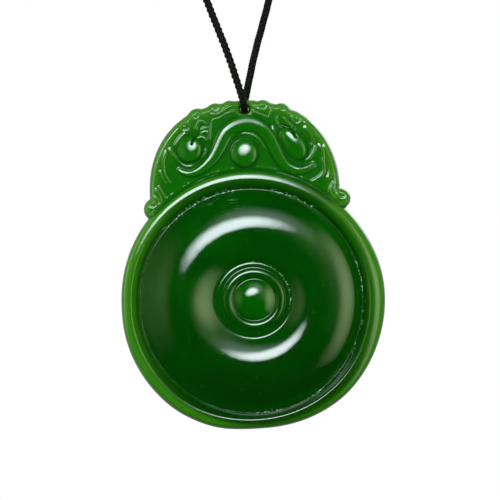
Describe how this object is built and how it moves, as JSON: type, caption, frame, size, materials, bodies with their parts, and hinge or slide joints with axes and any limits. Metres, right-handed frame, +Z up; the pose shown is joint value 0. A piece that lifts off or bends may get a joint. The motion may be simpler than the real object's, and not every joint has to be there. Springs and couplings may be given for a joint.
{
  "type": "jade pendant necklace",
  "caption": "Carved green jade pendant, a ringed disc under a relief crest, hung on a loop of thin black cord.",
  "frame": {"origin": "where the nape carries the necklace, at the underside of the knot at the top of the loop", "axes": "+Z up the hanging necklace, and the carved face towards -Y"},
  "size_m": [0.1139, 0.0113, 0.311],
  "materials": {
    "jade": "polished deep green jade",
    "black_cord": "braided black cord"
  },
  "bodies": {
    "cord": {"neck_cord": "black_cord", "neck_knot": "black_cord"},
    "pendant": {"jade_pendant": "jade"}
  },
  "joints": [
    {"name": "pendant_swing", "type": "hinge", "parent": "cord", "child": "pendant", "pos_m": [0, 0, -0.2543], "axis": [0, 1, 0], "range_deg": [-45, 45]}
  ]
}
